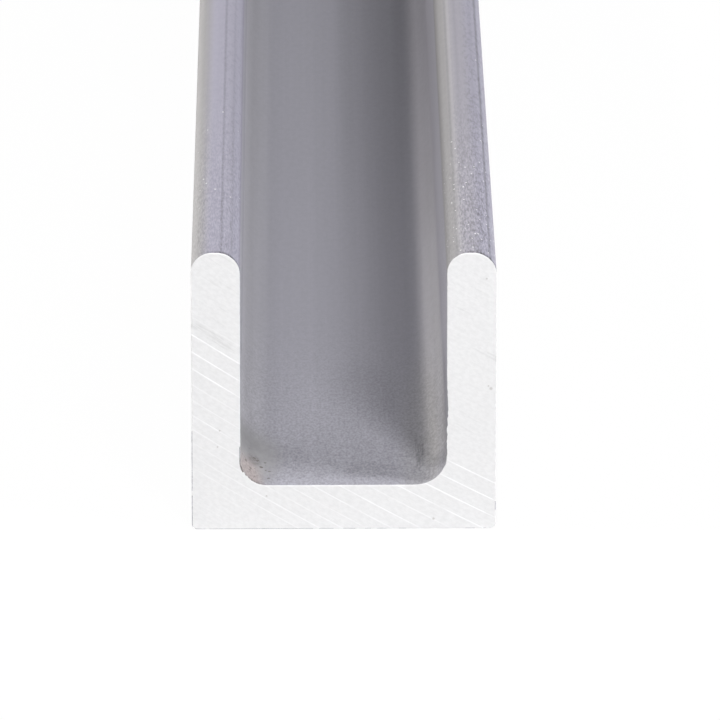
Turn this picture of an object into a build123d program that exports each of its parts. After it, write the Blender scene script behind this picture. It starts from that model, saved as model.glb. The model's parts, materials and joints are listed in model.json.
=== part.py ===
from build123d import *
import os

# A length of extruded aluminium U-channel: a flat web with two equal legs, all one solid.
# +Z is up, +Y runs along the length and +X across it. The channel lies on its web with its
# legs up, and the origin is the middle of its underside. All sizes are in millimetres.

# The section that the die gives
WIDTH = 25.0
HEIGHT = 25.0
LEG_THICKNESS = 4.0
WEB_THICKNESS = 4.0
# Fillet inside the channel, where each leg meets the web
ROOT_RADIUS = 2.25
# Light rounding of the two outer corners under the legs
CORNER_RADIUS = 0.5

# The piece as it is sawn off the bar, square at both ends
LENGTH = 500.0

# Each leg ends in a full round, so the round's size follows the leg
TIP_RADIUS = LEG_THICKNESS / 2
TIP_HEIGHT = HEIGHT - TIP_RADIUS
LEG_OFFSET = (WIDTH - LEG_THICKNESS) / 2
SLOT_WIDTH = WIDTH - 2 * LEG_THICKNESS


def channel_section():
    """The U-section, drawn with its underside on the local X axis and its legs along Y."""
    upwards = (Align.CENTER, Align.MIN)
    with BuildSketch() as section:
        Rectangle(WIDTH, TIP_HEIGHT, align=upwards)
        with Locations((0, WEB_THICKNESS)):
            Rectangle(SLOT_WIDTH, HEIGHT, align=upwards, mode=Mode.SUBTRACT)
        # Counted from the underside, the outer corners come first and the roots second
        fillet(section.vertices().group_by(Axis.Y)[1], ROOT_RADIUS)
        fillet(section.vertices().group_by(Axis.Y)[0], CORNER_RADIUS)
        with Locations((-LEG_OFFSET, TIP_HEIGHT), (LEG_OFFSET, TIP_HEIGHT)):
            Circle(TIP_RADIUS)
    return section.sketch


def u_channel():
    """The section pushed out both ways from mid-length, as one bar with square ends."""
    return extrude(Plane.XZ * channel_section(), LENGTH / 2, both=True)


os.makedirs("parts", exist_ok=True)
export_step(u_channel(), "parts/u_channel.step")
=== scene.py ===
import json
import math

import bmesh
import bpy
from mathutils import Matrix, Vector, noise


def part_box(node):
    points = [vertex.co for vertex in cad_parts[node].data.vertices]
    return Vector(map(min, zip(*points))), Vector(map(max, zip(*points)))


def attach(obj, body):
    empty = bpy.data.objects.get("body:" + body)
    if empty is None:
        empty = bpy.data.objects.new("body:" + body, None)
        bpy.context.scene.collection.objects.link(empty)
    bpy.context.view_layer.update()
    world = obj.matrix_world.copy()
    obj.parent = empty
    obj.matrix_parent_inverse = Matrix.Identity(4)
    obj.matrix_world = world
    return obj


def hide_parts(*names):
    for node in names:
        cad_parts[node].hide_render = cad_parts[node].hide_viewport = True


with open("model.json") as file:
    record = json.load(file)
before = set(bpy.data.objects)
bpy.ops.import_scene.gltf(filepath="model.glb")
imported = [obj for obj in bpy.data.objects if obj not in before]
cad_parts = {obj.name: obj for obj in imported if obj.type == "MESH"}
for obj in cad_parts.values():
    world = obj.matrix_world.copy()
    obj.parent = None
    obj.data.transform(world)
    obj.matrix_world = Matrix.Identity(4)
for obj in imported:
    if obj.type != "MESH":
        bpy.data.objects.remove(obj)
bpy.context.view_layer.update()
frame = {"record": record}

# The bar: a length of U-channel, one piece of aluminium that is pushed hot through a steel die.
# It has a flat web, filleted roots, and two legs that lean in by a hair and end in rounds.
# The die scores it with fine lines along its whole length, and a few on the tips are deeper.

low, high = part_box("u_channel")
channel_floor = next(m for m in frame["record"]["mounts"] if m["name"] == "channel_floor")
wall = channel_floor["pos_m"][2]
slot_left = low.x + wall
slot_right = high.x - wall
root_radius = 0.00225
right_root_radius = 0.0027
corner_radius = 0.0005
left_outside_radius = 0.00172
left_inside_radius = 0.00188
right_inside_radius = 0.00175
right_outside_radius = 0.00195
lean = 0.0001
left_outside_lean = lean * 1.6
right_inside_lean = lean * 0.9
left_root_spread = lean / 4
right_drop = 0.00008
right_top = high.z - right_drop
outline_step = 0.0001
arc_segments = 40
same_place = 0.000001

bar = bmesh.new()
corners = [
    (low.x, low.z, corner_radius),
    (high.x, low.z, corner_radius),
    (high.x - lean, right_top, right_outside_radius),
    (slot_right - right_inside_lean, right_top, right_inside_radius),
    (slot_right, wall, right_root_radius),
    (slot_left - left_root_spread, wall, root_radius),
    (slot_left + lean, high.z, left_inside_radius),
    (low.x + left_outside_lean, high.z, left_outside_radius),
]
bar.faces.new([bar.verts.new((x, low.y, z)) for x, z, _ in corners])
for x, z, radius in corners:
    corner = [v for v in bar.verts if (v.co - Vector((x, low.y, z))).length < same_place]
    bmesh.ops.bevel(
        bar, geom=corner, offset=radius, offset_type="OFFSET", segments=arc_segments,
        profile=0.5, affect="VERTICES", material=-1,
    )
bmesh.ops.remove_doubles(bar, verts=bar.verts[:], dist=same_place * 10)
for edge in [e for e in bar.edges if e.calc_length() > 2 * outline_step]:
    bmesh.ops.subdivide_edges(bar, edges=[edge], cuts=int(edge.calc_length() / outline_step))

# Die lines: the outline is moved in and out a few microns, so the bar is fluted along its length
die_line_depth = 0.000002
die_line_pitch = 0.0006
# Where each deeper score lies across the bar, how deep it is and how much dirt it holds
tip_scores = [
    (-0.0099, 0.00002, 0.26), (-0.0091, 0.000008, 0.1), (0.01188, 0.000016, 0.4),
    (0.0092, 0.000008, 0.1),
]
score_width = 0.00012
tip_start = high.z - wall / 2

sawn_face = bar.faces[:][0]
outline = [loop.vert for loop in sawn_face.loops]
places = [v.co.copy() for v in outline]
travelled = 0.0
for index, vert in enumerate(outline):
    before = places[index - 1]
    after = places[(index + 1) % len(places)]
    travelled += (places[index] - before).length
    outward = Vector((after.z - before.z, 0, before.x - after.x)).normalized()
    depth = die_line_depth * noise.noise(Vector((travelled / die_line_pitch, 0, 0)))
    if vert.co.z > tip_start:
        for score_x, score_depth, _ in tip_scores:
            depth -= score_depth * math.exp(-2 * ((vert.co.x - score_x) / score_width) ** 2)
    vert.co += outward * depth

# Sawn ends: a big round blade leaves a step for each turn that it is fed forward, on arcs about
# its axle, which is up and to the right. The steps fade towards the corner where it comes out.
blade_radius = 0.25
blade_lean = math.radians(31.04)
blade_aim = Vector((0, 0, 0.005))
axle = blade_aim + blade_radius * Vector((math.sin(blade_lean), 0, math.cos(blade_lean)))
first_mark = -0.00525
feed = 0.001335
feed_slowing = 0.0000215
feed_spread = 0.0026
level_mark = 2
most_spreads = 4
mark_width = 0.0001
mark_depth = 0.00002
mark_patch = 0.002
mark_patch_row = 3.7
mark_patch_level = 0.9
mark_patch_change = 1.1
# How sharp each step is at the left and the right end of its arc
mark_shares = [
    (0.1, 0.9), (0.9, 0.9), (0.7, 0.9), (0.9, 0.7), (0.3, 0.4), (0.2, 0.6), (0.6, 0.6), (0.6, 0.2),
    (0.1, 0.6), (0.0, 1.0), (0.0, 0.8), (0.1, 0.2), (0.1, 0.2), (0.1, 0.2), (0.1, 0.1), (0.1, 0.1),
]
cell_length = 0.0007
rim_width = 0.00005
rim_drop = 0.00003

bmesh.ops.inset_individual(bar, faces=[sawn_face], thickness=rim_width)
for vert in outline:
    vert.co.y += rim_drop

# The cut is unrolled about the axle, so that arcs are level lines, and sliced along the steps
for vert in bar.verts:
    reach = vert.co - axle
    vert.co.x = math.atan2(reach.x, -reach.z) * blade_radius
    vert.co.z = math.hypot(reach.x, reach.z) - blade_radius
unrolled_left = min(v.co.x for v in bar.verts)
unrolled_right = max(v.co.x for v in bar.verts)


def slice_cut(place, normal):
    """Cuts every face of the sawn end along one plane."""
    bmesh.ops.bisect_plane(
        bar, geom=bar.verts[:] + bar.edges[:] + bar.faces[:], dist=same_place / 10,
        plane_co=place, plane_no=normal,
    )


def mark_tilt(k):
    """How a step lies across the arcs: the steps fan out to the right."""
    return feed_spread * min(k - level_mark, most_spreads)


def mark_place(k, along):
    """How far out from the axle a step lies: they close up as the blade slows."""
    return first_mark + feed * k - feed_slowing * k * k + mark_tilt(k) * (along - unrolled_left)


for k in range(len(mark_shares)):
    for side in (-mark_width / 2, mark_width / 2):
        slice_cut((unrolled_left, 0, mark_place(k, unrolled_left) + side), (-mark_tilt(k), 0, 1))
for k in range(1, int((unrolled_right - unrolled_left) / cell_length)):
    slice_cut((unrolled_left + k * cell_length, 0, 0), (1, 0, 0))


def mark_strength(k, along):
    """How sharp one step is at a place along its arc, from 0 to 1."""
    left, right = mark_shares[k]
    across = (along - unrolled_left) / (unrolled_right - unrolled_left)
    patchy = noise.noise(Vector((along / mark_patch, k * mark_patch_row, 0)))
    share = (left + (right - left) * across) * (mark_patch_level + mark_patch_change * patchy)
    return max(0.0, min(1.0, share))


def step_height(along, reach):
    """How far the cut stands forward: a sharp rise over a mark, then a slow fall to the next one."""
    for k in range(len(mark_shares) - 1):
        start = mark_place(k, along)
        end = mark_place(k + 1, along)
        into_step = reach - (start - mark_width / 2)
        to_next = end - mark_width / 2 - reach
        if into_step >= 0 and to_next > 0:
            risen = min(into_step / mark_width, to_next / (end - start - mark_width))
            return mark_depth * mark_strength(k, along) * risen
    return 0.0


# The steps are raised, their sharp rises get a painted highlight, and the cut is rolled back about the
# axle
mill_slot = 0
cut_slot = 1
mark_highlight = bar.faces.layers.float.new("saw_mark")
for face in bar.faces:
    middle = face.calc_center_median()
    face.material_index = cut_slot
    for k in range(len(mark_shares)):
        if abs(middle.z - mark_place(k, middle.x)) < mark_width / 2:
            face[mark_highlight] = mark_strength(k, middle.x)
for vert in bar.verts:
    along = vert.co.x
    reach = vert.co.z
    vert.co.y -= step_height(along, reach)
    vert.co.x = axle.x + (reach + blade_radius) * math.sin(along / blade_radius)
    vert.co.z = axle.z - (reach + blade_radius) * math.cos(along / blade_radius)

# The rim of the cut is bright like the rest, but it is dull in dashes under the bar, up its left side
# and at its lower right corner, and dark at the left root
dash_length = 0.0009
dull_side_height = 0.009
dull_side_level = -0.3
dull_under_level = -0.1
dull_under_thinning = 0.5
dull_corner = 0.0025
dull_corner_level = 0.0
dark_rim_spot = Vector((-0.0085, low.y, 0.0062))
dark_rim_size = 0.0014
for face in [f for f in bar.faces if any(v.is_boundary for v in f.verts)]:
    middle = face.calc_center_median()
    dashes = noise.noise(Vector((middle.x / dash_length, 0, middle.z / dash_length)))
    on_left = middle.x < low.x + 2 * rim_width and middle.z < dull_side_height
    under = middle.z < low.z + 2 * rim_width
    at_corner = middle.x > high.x - dull_corner and middle.z < low.z + dull_corner
    under_level = middle.x / high.x * dull_under_thinning + dull_under_level
    at_root = (middle - dark_rim_spot).length < dark_rim_size * (1 + dashes)
    dashed_left = on_left and dashes > dull_side_level
    dashed_under = under and dashes > under_level
    dashed_corner = at_corner and dashes > dull_corner_level
    if dashed_left or dashed_under or dashed_corner or at_root:
        face.material_index = mill_slot

# The bar behind the cut is drawn out to mid-length in rings
ring_places = [0.0003, 0.0012, 0.004, 0.012, 0.03, 0.06, 0.1, 0.15, 0.2]
edge_loop = [e for e in bar.edges if e.is_boundary]
lip_verts = {v for e in edge_loop for v in e.verts}
for ring_y in [low.y + p for p in ring_places] + [0.0]:
    drawn = bmesh.ops.extrude_edge_only(bar, edges=edge_loop)["geom"]
    edge_loop = [g for g in drawn if isinstance(g, bmesh.types.BMEdge) and g.is_boundary]
    for vert in {v for e in edge_loop for v in e.verts}:
        vert.co.y = ring_y
    for face in [g for g in drawn if isinstance(g, bmesh.types.BMFace)]:
        face.material_index = mill_slot
        face.smooth = True
        face[mark_highlight] = 0.0

# Burr: the blade pushes the lip of the cut out by a hair, tears it at the left root and leaves it
# ragged on the right wall, where a knock has pushed it back
burr_all_round = 0.00001
burr_change = 2
burr_ragged = 0.00006
ragged_spot = Vector((slot_right, low.y, 0.0095))
ragged_reach = 0.003
ragged_size = 0.0003
burr_torn = 0.00011
torn_spot = Vector((-0.0081, low.y, 0.0051))
torn_size = 0.0017
tooth_size = 0.00016
tooth_level = 0.4
knock_depth = 0.00008
knock_spot = Vector((slot_right, low.y, 0.0112))
knock_size = 0.0013


def fading(spot, vert, size):
    """How much of something at a spot reaches a vertex: 1 there, and soon less beyond its size."""
    return math.exp(-(((vert.co - spot).length / size) ** 2))


bmesh.ops.recalc_face_normals(bar, faces=bar.faces[:])
bar.normal_update()
for vert in lip_verts:
    outward = Vector((vert.normal.x, 0, vert.normal.z)).normalized()
    ragged = noise.noise(vert.co / ragged_size)
    teeth = max(0.0, tooth_level + noise.noise(vert.co / tooth_size))
    torn = fading(torn_spot, vert, torn_size)
    rough = fading(ragged_spot, vert, ragged_reach)
    flare = burr_all_round * (1 + burr_change * ragged) + burr_ragged * rough * ragged
    vert.co += outward * (flare + burr_torn * torn * teeth)
for vert in bar.verts:
    vert.co.x += knock_depth * fading(knock_spot, vert, knock_size)

# The other half, with the far end, mirrors this one
bmesh.ops.mirror(
    bar, geom=bar.verts[:] + bar.edges[:] + bar.faces[:], axis="Y", merge_dist=same_place
)
bmesh.ops.recalc_face_normals(bar, faces=bar.faces[:])

channel_mesh = bpy.data.meshes.new("channel")
bar.to_mesh(channel_mesh)
bar.free()
channel = bpy.data.objects.new("channel", channel_mesh)
bpy.context.scene.collection.objects.link(channel)
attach(channel, "root")
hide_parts("u_channel")


def add(tree, kind, inputs=None, **settings):
    """Adds a node, with its settings and what its inputs hold or are linked from."""
    made = tree.nodes.new(kind)
    for name, value in settings.items():
        setattr(made, name, value)
    for name, value in (inputs or {}).items():
        if isinstance(value, bpy.types.NodeSocket):
            tree.links.new(value, made.inputs[name])
        else:
            made.inputs[name].default_value = value
    return made


def maths(tree, operation, *values):
    """The result of a sum on sockets and plain numbers."""
    return add(tree, "ShaderNodeMath", dict(enumerate(values)), operation=operation).outputs[0]


def times(tree, *masks):
    """The product of some masks: what is in all of them."""
    product = masks[0]
    for mask in masks[1:]:
        product = maths(tree, "MULTIPLY", product, mask)
    return product


def shade(tree, tone, mask, change):
    """A tone that is changed where a mask is."""
    return maths(tree, "MULTIPLY_ADD", mask, change, tone)


def step(tree, value, start, end, first=0.0, last=1.0):
    """A soft change from the first number to the last one, as a value goes from start to end."""
    return add(tree, "ShaderNodeMapRange", {
        "Value": value, "From Min": start, "From Max": end, "To Min": first, "To Max": last,
    }, interpolation_type="SMOOTHSTEP").outputs[0]


def within(tree, value, rise, fall):
    """A soft band of a value: over each of two ranges it goes from 0 to 1, and it is 1 between them."""
    return times(tree, step(tree, value, *rise), step(tree, value, *fall))


def choose(tree, mask, off, on):
    """One number outside a mask and another one inside it."""
    return step(tree, mask, 0.0, 1.0, off, on)


def paint(tree, share, under, over, how="MIX"):
    """One colour laid over another, by its share."""
    return add(tree, "ShaderNodeMix", {
        "Factor": share, "A": under, "B": over,
    }, data_type="RGBA", blend_type=how).outputs[2]


def new_material(mesh, name):
    """The empty tree of a new material, in the next slot of a mesh."""
    material = bpy.data.materials.new(name)
    material.use_nodes = True
    material.node_tree.nodes.clear()
    mesh.materials.append(material)
    return material.node_tree


# Patches: soft spots of dirt, wear, painted shade and painted light, 1 in their middle and 0 beyond
# their size
patch_core = 0.4
patches = bpy.data.node_groups.new("patches", "ShaderNodeTree")
for patch_input in ("Place", "Middle", "Size"):
    patches.interface.new_socket(patch_input, in_out="INPUT", socket_type="NodeSocketVector")
patches.interface.new_socket("Mask", in_out="OUTPUT", socket_type="NodeSocketFloat")
asked = add(patches, "NodeGroupInput").outputs
from_patch = add(patches, "ShaderNodeVectorMath", {
    0: asked["Place"], 1: asked["Middle"],
}, operation="SUBTRACT").outputs[0]
from_patch = add(patches, "ShaderNodeVectorMath", {
    0: from_patch, 1: asked["Size"],
}, operation="DIVIDE").outputs[0]
from_patch = add(patches, "ShaderNodeVectorMath", {0: from_patch}, operation="LENGTH").outputs["Value"]
add(patches, "NodeGroupOutput", {"Mask": step(patches, from_patch, 1.0, patch_core)})


def near_spot(tree, place, middle, size):
    """A soft patch about a place, from 0 to 1."""
    return add(tree, "ShaderNodeGroup", {
        "Place": place, "Middle": middle, "Size": size,
    }, node_tree=patches).outputs["Mask"]


# Streaks: fine lines along the Y of a place, drawn by the die on the bar and by the teeth on a cut
streak_detail = 2.0
streak_roughness = 0.6
streak_range = (0.3, 0.7)
streaks = bpy.data.node_groups.new("streaks", "ShaderNodeTree")
streaks.interface.new_socket("Place", in_out="INPUT", socket_type="NodeSocketVector")
streaks.interface.new_socket("Across", in_out="INPUT", socket_type="NodeSocketFloat")
streaks.interface.new_socket("Along", in_out="INPUT", socket_type="NodeSocketFloat")
streaks.interface.new_socket("Value", in_out="OUTPUT", socket_type="NodeSocketFloat")
given = add(streaks, "NodeGroupInput").outputs
streak_size = add(streaks, "ShaderNodeCombineXYZ", {
    "X": given["Across"], "Y": given["Along"], "Z": given["Across"],
}).outputs[0]
streak_place = add(streaks, "ShaderNodeVectorMath", {
    0: given["Place"], 1: streak_size,
}, operation="DIVIDE").outputs[0]
streak_lines = add(streaks, "ShaderNodeTexNoise", {
    "Vector": streak_place, "Scale": 1.0, "Detail": streak_detail, "Roughness": streak_roughness,
}).outputs["Fac"]
add(streaks, "NodeGroupOutput", {"Value": streak_lines})


def streak(tree, place, across, along):
    """Streaks of one width and length, from 0 to 1."""
    return add(tree, "ShaderNodeGroup", {
        "Place": place, "Across": across, "Along": along,
    }, node_tree=streaks).outputs["Value"]


def vary(tree, pattern, least, most):
    """A number that goes from the least to the most with a pattern of streaks."""
    return step(tree, pattern, *streak_range, least, most)


# Mill finish: matt and a little lavender. Painted light makes it greyer on the left of each tip, the
# tint of a warm light from the left, and brighter in the roots
matt_colour = (0.388, 0.383, 0.428, 1)
tip_colour = (0.27, 0.263, 0.32, 1)
left_light_colour = (0.357, 0.35, 0.358, 1)
lit_root_colour = (0.53, 0.525, 0.55, 1)
leg_middle = high.x - wall / 2 - lean
tip_foot_inside = high.z - wall
tip_foot_outside = high.z - wall * 3
slot_edge = (slot_right + 0.0003, slot_right + 0.0001)
floor_edge = (wall * 1.2, wall * 1.1)
root_top = wall + root_radius
root_edge = (slot_right - root_radius - root_radius / 3, slot_right)
root_fade = (root_top + 0.0016, root_top - 0.0008)
left_root_light = 0.55
right_root_light_length = 0.1
right_root_light_lip = (0.0015, 0.005)
right_root_light_at_lip = 0.3
left_light_edge = (-0.0003, -0.0016)
side_blend = 0.001

mill = new_material(channel_mesh, "mill_finish")
place = add(mill, "ShaderNodeTexCoord").outputs["Object"]
spot = add(mill, "ShaderNodeSeparateXYZ", {0: place}).outputs


def by_side(left, right):
    """One number on the left half of the bar and another one on its right half."""
    return step(mill, spot["X"], -side_blend, side_blend, left, right)


off_middle = maths(mill, "ABSOLUTE", spot["X"])
from_end = maths(mill, "SUBTRACT", high.y, maths(mill, "ABSOLUTE", spot["Y"]))
leg_centre = maths(mill, "MULTIPLY", maths(mill, "SIGN", spot["X"]), leg_middle)
across_leg = maths(mill, "SUBTRACT", spot["X"], leg_centre)
tip_foot = step(mill, off_middle, leg_middle, high.x, tip_foot_inside, tip_foot_outside)
on_tip = step(mill, spot["Z"], tip_foot, tip_start)
on_right_tip = times(mill, by_side(0.0, 1.0), on_tip)
on_left_tip = maths(mill, "SUBTRACT", on_tip, on_right_tip)
in_slot = times(mill, step(mill, off_middle, *slot_edge), step(mill, spot["Z"], wall / 2, wall))
on_floor = times(mill, step(mill, spot["Z"], *floor_edge), in_slot)
below_wall = step(mill, spot["Z"], *root_fade)
on_root = times(mill, step(mill, off_middle, *root_edge), below_wall, in_slot)
# Painted light: the roots lighter, the right one most towards the near end
right_root_light = times(
    mill, step(mill, from_end, right_root_light_length, 0.0),
    step(mill, from_end, *right_root_light_lip, right_root_light_at_lip, 1.0),
)
lit_roots = times(mill, on_root, by_side(left_root_light, right_root_light))
# Painted light: a greyer band on the left side of each tip, the tint of the warm light from the left
left_light_band = times(mill, step(mill, across_leg, *left_light_edge), on_tip)
mill_colour = paint(mill, lit_roots, matt_colour, lit_root_colour)
mill_colour = paint(mill, on_tip, mill_colour, tip_colour)
mill_colour = paint(mill, left_light_band, mill_colour, left_light_colour)

# Die lines and, towards the ends, a grain: how wide and long each kind is, and how strong
fine_size = (0.00012, 0.06)
fine_change = 0.006
broad_size = (0.0009, 0.2)
broad_change = 0.03
cloud_size = (0.0005, 0.0008)
cloud_change = 0.045
grain_size = (0.0002, 0.00033)
tip_grain_size = (0.00013, 0.0006)
grain_change = 0.15
# The shares of these changes off and on the tips, away from the ends and at them, and on the edges
# and in the middle of the right tip
broad_shares = (0.6, 2.2)
cloud_shares = (0.5, 1.0)
grain_shares = (0.07, 1.0)
right_grain_shares = (0.6, 1.9)
rough_rise = (-0.0012, -0.0006)
rough_fall = (0.0015, 0.0013)
worn_length = 0.045
worn_tip_change = 0.03

worn = step(mill, from_end, worn_length, 0.0)
fine_lines = streak(mill, place, *fine_size)
broad_lines = streak(mill, place, *broad_size)
clouds = streak(mill, place, *cloud_size)
grain = streak(mill, place, *grain_size)
tip_grain = streak(mill, place, *tip_grain_size)
tone = vary(mill, fine_lines, 1 - fine_change, 1 + fine_change)
broad_tone = vary(mill, broad_lines, -broad_change, broad_change)
tone = shade(mill, tone, broad_tone, choose(mill, on_tip, *broad_shares))
cloud_tone = vary(mill, clouds, -cloud_change, cloud_change)
tone = shade(mill, tone, cloud_tone, choose(mill, worn, *cloud_shares))
rough_middle = within(mill, across_leg, rough_rise, rough_fall)
right_grain = choose(mill, rough_middle, *right_grain_shares)
right_grain = choose(mill, on_right_tip, 1.0, right_grain)
grain_share = times(mill, choose(mill, worn, *grain_shares), right_grain)
grain_tone = choose(
    mill, on_tip, vary(mill, grain, -grain_change, grain_change),
    vary(mill, tip_grain, -grain_change, grain_change),
)
tone = shade(mill, tone, grain_tone, grain_share)
tone = shade(mill, tone, times(mill, worn, on_tip), worn_tip_change)

# Lighter and darker bands along the tips: the tip that each one is on, where it rises and falls
# across the leg, and its change
tip_bands = [
    (on_right_tip, (-0.00113, -0.001), (-0.00077, -0.0009), 0.08),
    (on_left_tip, (-0.0011, -0.0005), (0.0009, 0.0005), 0.1),
    (on_left_tip, (-0.0014, -0.0011), (-0.0003, -0.0008), -0.09),
]
# The right tip as a whole, and painted highlights on the right slope of both tips and on the left
# shoulder of the left one
right_tip_slope = (0.0013, 0.0016)
right_tip_changes = (-0.06, 0.03)
right_slope = (0.0011, 0.0018)
right_slope_highlight_change = 0.1
left_shoulder = (-0.0013, -0.00195)
left_shoulder_highlight_change = 0.36

for banded_tip, rise, fall, change in tip_bands:
    tip_band = times(mill, within(mill, across_leg, rise, fall), banded_tip)
    tone = shade(mill, tone, tip_band, change)
right_tone = step(mill, across_leg, *right_tip_slope, *right_tip_changes)
tone = shade(mill, tone, on_right_tip, right_tone)
right_slope_highlight = times(mill, step(mill, across_leg, *right_slope), on_tip)
tone = shade(mill, tone, right_slope_highlight, right_slope_highlight_change)
left_shoulder_highlight = times(
    mill, step(mill, across_leg, *left_shoulder),
    step(mill, spot["Z"], tip_foot_inside, tip_start), on_left_tip,
)
tone = shade(mill, tone, left_shoulder_highlight, left_shoulder_highlight_change)

# Painted shade: darker on the whole left wall and, away from the ends, a painted shadow in the right
# root
left_wall_rise = (root_top, root_top + 0.002)
left_wall_fall = (high.z - wall * 0.25, high.z - wall * 0.4)
left_wall_shade = -0.2
far_root_side = (0.0045, 0.0065)
far_root_start = (0.05, 0.12)
far_root_shadow_change = -0.18

on_left_wall = times(
    mill, within(mill, spot["Z"], left_wall_rise, left_wall_fall),
    step(mill, spot["X"], 0.0, -side_blend), in_slot,
)
tone = shade(mill, tone, on_left_wall, left_wall_shade)
far_root_shadow = times(
    mill, step(mill, spot["X"], *far_root_side), below_wall, in_slot,
    step(mill, from_end, *far_root_start),
)
tone = shade(mill, tone, far_root_shadow, far_root_shadow_change)

# Patches near the end, on the right wall, at its root and on the floor: painted shade and painted light
# on the right wall and at its root, painted light on the floor at the lip, and darker patches on the
# floor, the last of them painted shade along the edge of the shadow. The middle of each one, its size
# and its change
light_and_shade_patches = [
    ((slot_right, low.y + 0.004, root_top + 0.002), (0.0006, 0.016, 0.0045), -0.13),
    ((slot_right, low.y, 0.008), (0.0006, 0.02, 0.006), -0.11),
    ((slot_right, low.y + 0.032, 0.009), (0.0026, 0.026, 0.014), 0.1),
    ((0.0076, low.y + 0.001, 0.0047), (0.0016, 0.005, 0.0018), -0.08),
    ((-0.001, low.y, wall), (0.0095, 0.002, 0.001), 0.13),
    ((-0.005, low.y + 0.0055, wall), (0.003, 0.0028, 0.001), -0.08),
    ((0.002, low.y + 0.0027, wall), (0.0033, 0.0022, 0.001), -0.08),
    ((0.0016, low.y + 0.0165, wall), (0.004, 0.009, 0.001), -0.08),
]
for middle, size, change in light_and_shade_patches:
    tone = shade(mill, tone, near_spot(mill, place, middle, size), change)

# Darker mottling on the right of each tip, dirt in the scores and a dark lip behind the cut, painted as
# the shade behind the burr
mottle_size = (0.0003, 0.0008)
mottle_range = (0.48, 0.62)
mottle_length = (0.1, 0.01)
mottle_side = (-0.0002, 0.0006)
mottle_on_left = 0.6
mottle_change = -0.2
lip_width = (0.0006, 0.0002)
lip_side = (-0.0015, 0.0008)
lip_shade_change = -0.5
score_dirt_width = 0.00018
score_dirt_length = (0.15, 0.03)

mottled = times(
    mill, step(mill, streak(mill, place, *mottle_size), *mottle_range),
    step(mill, from_end, *mottle_length), by_side(mottle_on_left, 1.0),
    step(mill, across_leg, *mottle_side), on_tip,
)
tone = shade(mill, tone, mottled, mottle_change)
lip_shade = times(
    mill, step(mill, from_end, *lip_width), step(mill, across_leg, *lip_side), on_tip
)
tone = shade(mill, tone, lip_shade, lip_shade_change)
for score_x, _, score_dirt in tip_scores:
    from_score = maths(mill, "ABSOLUTE", maths(mill, "SUBTRACT", spot["X"], score_x))
    score = times(
        mill, step(mill, from_score, score_dirt_width, 0.0),
        step(mill, from_end, *score_dirt_length), on_tip,
    )
    tone = shade(mill, tone, score, -score_dirt)

# The floor: dull and blotchy towards its ends, with painted light a little lighter on the left and,
# further back, a painted shadow darker on the right, and a streak of dirt along the right root
dull_length = (0.014, 0.004)
blotch_size = (0.0003, 0.0006)
blotch_changes = (-0.04, -0.18)
floor_left_rise = (-0.0065, -0.005)
floor_left_fall = (0.0008, -0.0008)
floor_left_change = 0.035
floor_right_side = (-0.0005, 0.001)
floor_right_start = (0.04, 0.085)
floor_right_change = -0.065
dirt_middle = (0.0063, low.y + 0.006, wall)
dirt_size = (0.0006, 0.0045, 0.001)
dirt_line_size = (0.0002, 0.004)
dirt_changes = (-0.03, -0.24)
sharp_range = (0.4, 0.6)

dull = times(mill, step(mill, from_end, *dull_length), on_floor)
blotches = vary(mill, streak(mill, place, *blotch_size), *blotch_changes)
tone = shade(mill, tone, dull, blotches)
lit_floor_left = within(mill, spot["X"], floor_left_rise, floor_left_fall)
far_floor_shadow = times(
    mill, step(mill, spot["X"], *floor_right_side),
    step(mill, from_end, *floor_right_start, 0.0, floor_right_change),
)
floor_tone = shade(mill, far_floor_shadow, lit_floor_left, floor_left_change)
tone = shade(mill, tone, on_floor, floor_tone)
dirt = near_spot(mill, place, dirt_middle, dirt_size)
dirt_lines = step(mill, streak(mill, place, *dirt_line_size), *sharp_range, *dirt_changes)
tone = shade(mill, tone, dirt, dirt_lines)
mill_colour = paint(mill, 1.0, mill_colour, tone, "MULTIPLY")

# Painted light: less lavender, the tint of the warm light from the left, on the left of the right tip
# outside its painted left band, and at the right root
warm_light_tint = (1, 0.995, 0.935, 1)
warm_lit_side = (0.001, 0.0)
warm_lit_root_middle = (0.0066, low.y + 0.006, 0.0043)
warm_lit_root_size = (0.0025, 0.024, 0.0015)
warm_lit_root_share = 0.6
warm_lit = times(
    mill, step(mill, across_leg, *warm_lit_side), on_right_tip, maths(mill, "SUBTRACT", 1.0, left_light_band)
)
warm_lit_root = near_spot(mill, place, warm_lit_root_middle, warm_lit_root_size)
warm_lit = shade(mill, warm_lit, warm_lit_root, warm_lit_root_share)
mill_colour = paint(mill, warm_lit, mill_colour, warm_light_tint, "MULTIPLY")

# Left root at the near end: a dull grey patch, and in it a brownish stain with a dark lip, a smudge
# and dark specks. Each of these lies about a middle and has a size
dull_root_colour = (0.342, 0.338, 0.351, 1)
stain_colour = (0.375, 0.333, 0.33, 1)
speck_colour = (0.17, 0.15, 0.145, 1)
dull_root_patch = ((-0.0074, low.y + 0.005, 0.0051), (0.0032, 0.0066, 0.0035))
stain_patch = ((-0.0078, low.y + 0.0005, 0.0048), (0.0017, 0.0045, 0.0022))
root_lip_patch = ((-0.0079, low.y, 0.005), (0.0024, 0.0006, 0.0022))
smudge_patch = ((-0.0073, low.y + 0.0041, 0.0046), (0.0008, 0.0014, 0.001))
speckled_patch = ((-0.0072, low.y + 0.0025, 0.0046), (0.002, 0.0045, 0.002))
dull_root_change = 0.05
stain_range = (0.35, 0.65)
stain_change = 0.15
root_lip_share = 0.7
smudge_shares = (0.2, 0.65)
speck_size = 0.00032
speck_reach = 0.55
speck_edge = (0.05, -0.15)
speck_level = 0.65

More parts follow.
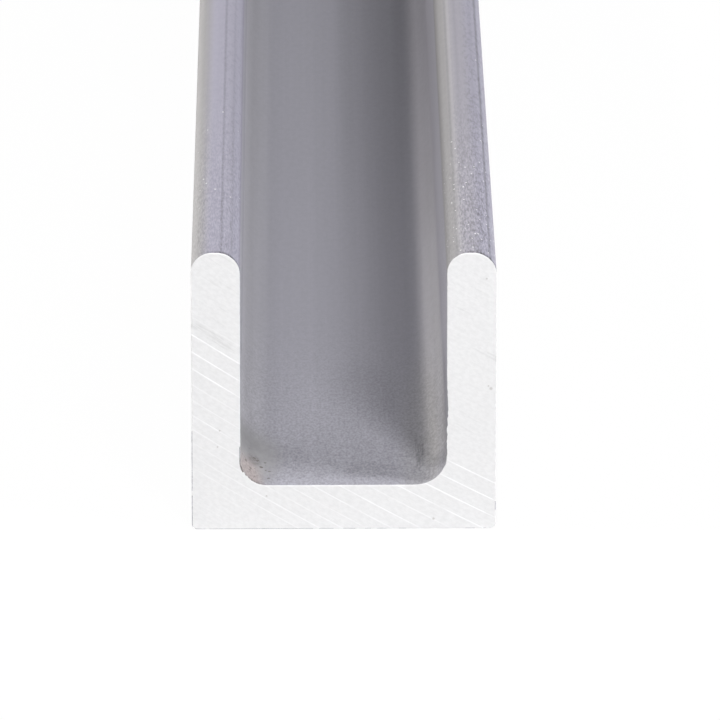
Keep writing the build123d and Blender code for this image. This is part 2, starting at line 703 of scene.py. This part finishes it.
dull_root_tone = vary(mill, clouds, 1 - dull_root_change, 1 + dull_root_change)
dull_root_paint = paint(mill, 1.0, dull_root_colour, dull_root_tone, "MULTIPLY")
dull_root = near_spot(mill, place, *dull_root_patch)
mill_colour = paint(mill, dull_root, mill_colour, dull_root_paint)
stain_tone = step(mill, grain, *stain_range, 1 - stain_change, 1 + stain_change)
stain_paint = paint(mill, 1.0, stain_colour, stain_tone, "MULTIPLY")
mill_colour = paint(mill, near_spot(mill, place, *stain_patch), mill_colour, stain_paint)
dark_root_lip = times(mill, near_spot(mill, place, *root_lip_patch), root_lip_share)
mill_colour = paint(mill, dark_root_lip, mill_colour, speck_colour)
smudge_share = step(mill, grain, *sharp_range, *smudge_shares)
smudge = times(mill, near_spot(mill, place, *smudge_patch), smudge_share)
mill_colour = paint(mill, smudge, mill_colour, speck_colour)
speck_cells = add(mill, "ShaderNodeTexVoronoi", {"Vector": place, "Scale": 1 / speck_size})
speck_choice = add(mill, "ShaderNodeSeparateColor", {0: speck_cells.outputs["Color"]}).outputs
speck_radius = times(mill, speck_choice[1], speck_reach)
from_speck = maths(mill, "SUBTRACT", speck_cells.outputs["Distance"], speck_radius)
speck = times(
    mill, step(mill, from_speck, *speck_edge),
    maths(mill, "GREATER_THAN", speck_choice[0], speck_level),
    near_spot(mill, place, *speckled_patch),
)
mill_colour = paint(mill, speck, mill_colour, speck_colour)

# Painted glints: bright specks in the colour near the ends of the tips
painted_glint_colour = (0.7, 0.7, 0.72, 1)
glint_size = 0.00025
glint_reach = 0.3
glint_share = 0.06
left_glint_share = glint_share / 5
glint_cells = add(mill, "ShaderNodeTexVoronoi", {"Vector": place, "Scale": 1 / glint_size})
glint_choice = add(mill, "ShaderNodeSeparateColor", {0: glint_cells.outputs["Color"]}).outputs[0]
glint_choice = shade(mill, glint_choice, worn, by_side(left_glint_share, glint_share))
painted_glint = times(
    mill, maths(mill, "GREATER_THAN", glint_choice, 1.0),
    maths(mill, "LESS_THAN", glint_cells.outputs["Distance"], glint_reach), on_tip,
)
mill_colour = paint(mill, painted_glint, mill_colour, painted_glint_colour)

relief = 0.00001
mill_height = shade(mill, fine_lines, grain, worn)
mill_bump = add(mill, "ShaderNodeBump", {"Height": mill_height, "Strength": 0.4, "Distance": relief})
mill_shader = add(mill, "ShaderNodeBsdfPrincipled", {
    "Base Color": mill_colour, "Metallic": 0.2, "Roughness": 0.6, "Diffuse Roughness": 1.0,
    "Normal": mill_bump.outputs[0],
})
add(mill, "ShaderNodeOutputMaterial", {"Surface": mill_shader.outputs[0]})

# Saw cut: bright bare metal, with the steps painted brighter still as a highlight, hairlines on the
# same arcs, and darker smears above and beside the first step
cut_colour = (0.757, 0.757, 0.767, 1)
step_highlight_colour = (0.835, 0.835, 0.85, 1)
hairline_size = (0.00012, 0.004)
hairline_change = 0.01
cut_cloud_size = (0.0003, 0.0005)
cut_cloud_change = 0.03
smear_size = (0.0005, 0.006)
smear_range = (0.6, 0.75)
smear_change = -0.09
smear_edge = (blade_radius + first_mark, blade_radius + first_mark - 0.001)
dark_smear_patch = ((blade_radius - 0.00475, -0.1514, 0), (0.0006, 0.0035, 1))
dark_smear_size = (0.00025, 0.003)
dark_smear_changes = (-0.02, -0.12)

cut = new_material(channel_mesh, "saw_cut")
cut_place = add(cut, "ShaderNodeTexCoord").outputs["Object"]
from_axle = add(cut, "ShaderNodeVectorMath", {0: cut_place, 1: axle}, operation="SUBTRACT")
cut_spot = add(cut, "ShaderNodeSeparateXYZ", {0: from_axle.outputs[0]}).outputs
cut_angle = maths(cut, "ARCTAN2", cut_spot["X"], maths(cut, "MULTIPLY", cut_spot["Z"], -1.0))
cut_reach = add(cut, "ShaderNodeCombineXYZ", {"X": cut_spot["X"], "Z": cut_spot["Z"]}).outputs[0]
cut_reach = add(cut, "ShaderNodeVectorMath", {0: cut_reach}, operation="LENGTH").outputs["Value"]
on_arc = add(cut, "ShaderNodeCombineXYZ", {
    "X": cut_reach, "Y": maths(cut, "MULTIPLY", cut_angle, blade_radius),
}).outputs[0]

hairlines = streak(cut, on_arc, *hairline_size)
cut_clouds = streak(cut, on_arc, *cut_cloud_size)
smears = streak(cut, on_arc, *smear_size)
cut_tone = vary(cut, hairlines, 1 - hairline_change, 1 + hairline_change)
cut_cloud_tone = vary(cut, cut_clouds, -cut_cloud_change, cut_cloud_change)
cut_tone = maths(cut, "ADD", cut_tone, cut_cloud_tone)
smear = times(cut, step(cut, smears, *smear_range), step(cut, cut_reach, *smear_edge))
cut_tone = shade(cut, cut_tone, smear, smear_change)
smear_lines = step(
    cut, streak(cut, on_arc, *dark_smear_size), *sharp_range, *dark_smear_changes
)
cut_tone = shade(cut, cut_tone, near_spot(cut, on_arc, *dark_smear_patch), smear_lines)
cut_paint = paint(cut, 1.0, cut_colour, cut_tone, "MULTIPLY")
saw_mark = add(cut, "ShaderNodeAttribute", attribute_name="saw_mark").outputs["Fac"]
cut_paint = paint(cut, saw_mark, cut_paint, step_highlight_colour)

# A few dark specks of grit on the near cut: how far across and up each one lies, and its size
grit_colour = (0.57, 0.56, 0.56, 1)
grit_places = [
    (0.01203, 0.01276, 0.00018), (0.01182, 0.01299, 0.0001), (0.00739, 0.0009, 0.00014),
    (-0.00635, 0.00304, 0.00011), (0.0116, 0.02263, 0.00011), (-0.01015, 0.00903, 0.00011),
    (-0.01034, 0.00755, 0.0001),
]
for grit_x, grit_z, grit_size in grit_places:
    grit = near_spot(cut, cut_place, (grit_x, low.y, grit_z), (grit_size, wall, grit_size))
    cut_paint = paint(cut, grit, cut_paint, grit_colour)

cut_bump = add(cut, "ShaderNodeBump", {"Height": hairlines, "Strength": 0.3, "Distance": relief})
cut_shader = add(cut, "ShaderNodeBsdfPrincipled", {
    "Base Color": cut_paint, "Metallic": 0.3, "Roughness": 0.45, "Diffuse Roughness": 1.0,
    "Normal": cut_bump.outputs[0],
})
add(cut, "ShaderNodeOutputMaterial", {"Surface": cut_shader.outputs[0]})

# The stage: a white floor that keeps a faint shadow, an even white surround, and a camera with a
# long lens over the near end. Four soft lamps stand about that end: a tall one right of the camera,
# one at each side and a faint one in front. Two narrow beams behind light the far half.

floor_size = 40.0
paper_shine = 0.98
paper_colour = (0.95, 0.95, 0.95, 1)
white_colour = (1, 1, 1, 1)
stage = bmesh.new()
bmesh.ops.create_grid(stage, x_segments=1, y_segments=1, size=floor_size / 2)
floor_mesh = bpy.data.meshes.new("floor")
stage.to_mesh(floor_mesh)
stage.free()
floor = bpy.data.objects.new("floor", floor_mesh)
bpy.context.scene.collection.objects.link(floor)


def shows(tree):
    """1 for a ray from the camera, or one that metal or glass sends on, and 0 for other light."""
    path = add(tree, "ShaderNodeLightPath").outputs
    shown = maths(tree, "MAXIMUM", path["Is Camera Ray"], path["Is Glossy Ray"])
    return maths(tree, "MAXIMUM", shown, path["Is Transmission Ray"])


paper = new_material(floor_mesh, "floor_paper")
paper_white = add(paper, "ShaderNodeEmission", {"Color": white_colour, "Strength": 1.0})
paper_matt = add(paper, "ShaderNodeBsdfDiffuse", {"Color": paper_colour})
paper_mix = add(paper, "ShaderNodeMixShader", {
    0: times(paper, shows(paper), paper_shine), 1: paper_matt.outputs[0], 2: paper_white.outputs[0],
})
add(paper, "ShaderNodeOutputMaterial", {"Surface": paper_mix.outputs[0]})

surround_level = 0.12
surround = bpy.data.worlds.new("surround")
bpy.context.scene.world = surround
surround.use_nodes = True
air = surround.node_tree
air.nodes.clear()
sky_level = choose(air, shows(air), surround_level, 1.0)
sky = add(air, "ShaderNodeBackground", {"Color": white_colour, "Strength": sky_level})
add(air, "ShaderNodeOutputWorld", {"Surface": sky.outputs[0]})

white_light = (1, 1, 1)
warm_light = (1, 0.96, 0.89)
open_beam = 180
narrow_beam = 40


def add_lamp(name, end, turned, raised, distance, size, watts, tint=white_light, beam=open_beam):
    """A soft lamp aimed at one end of the channel, by its angles from the front and its beam's."""
    turned = math.radians(turned)
    raised = math.radians(raised)
    way = Vector((
        math.sin(turned) * math.cos(raised), -math.cos(turned) * math.cos(raised),
        math.sin(raised),
    ))
    light = bpy.data.lights.new(name, "AREA")
    light.shape = "RECTANGLE"
    light.size, light.size_y = size
    light.energy = watts
    light.color = tint
    light.spread = math.radians(beam)
    lamp = bpy.data.objects.new(name, light)
    bpy.context.scene.collection.objects.link(lamp)
    lamp.location = Vector((0, end, wall)) + way * distance
    lamp.rotation_euler = (-way).to_track_quat("-Z", "Y").to_euler()
    lamp.visible_camera = False


add_lamp("right_lamp", low.y, turned=25.9, raised=48.2, distance=0.5, size=(0.085, 0.22), watts=1.17)
add_lamp("left_lamp", low.y, turned=-92, raised=52.8, distance=0.4, size=(0.014, 0.014), watts=0.67,
         tint=warm_light)
add_lamp("side_lamp", low.y, turned=75, raised=45, distance=0.4, size=(0.063, 0.063), watts=0.75)
add_lamp("front_lamp", low.y, turned=0, raised=50, distance=0.3, size=(0.15, 0.15), watts=0.245)
add_lamp("far_right_lamp", high.y, turned=145, raised=42, distance=0.5, size=(0.12, 0.12),
         watts=0.088, beam=narrow_beam)
add_lamp("far_left_lamp", high.y, turned=-120, raised=42, distance=0.5, size=(0.12, 0.12),
         watts=0.08, beam=narrow_beam)

picture_size = 720
focal_pixels = 6642
camera_place = (-0.00321, low.y - 0.48858, 0.24739)
camera_pitch = 64.60
camera_turn = -0.533
camera_data = bpy.data.cameras.new("camera")
camera_data.sensor_width = 36.0
camera_data.lens = camera_data.sensor_width * focal_pixels / picture_size
camera = bpy.data.objects.new("camera", camera_data)
bpy.context.scene.collection.objects.link(camera)
camera.location = camera_place
camera.rotation_euler = (math.radians(camera_pitch), 0, math.radians(camera_turn))
bpy.context.scene.camera = camera
bpy.context.scene.view_settings.view_transform = "Standard"
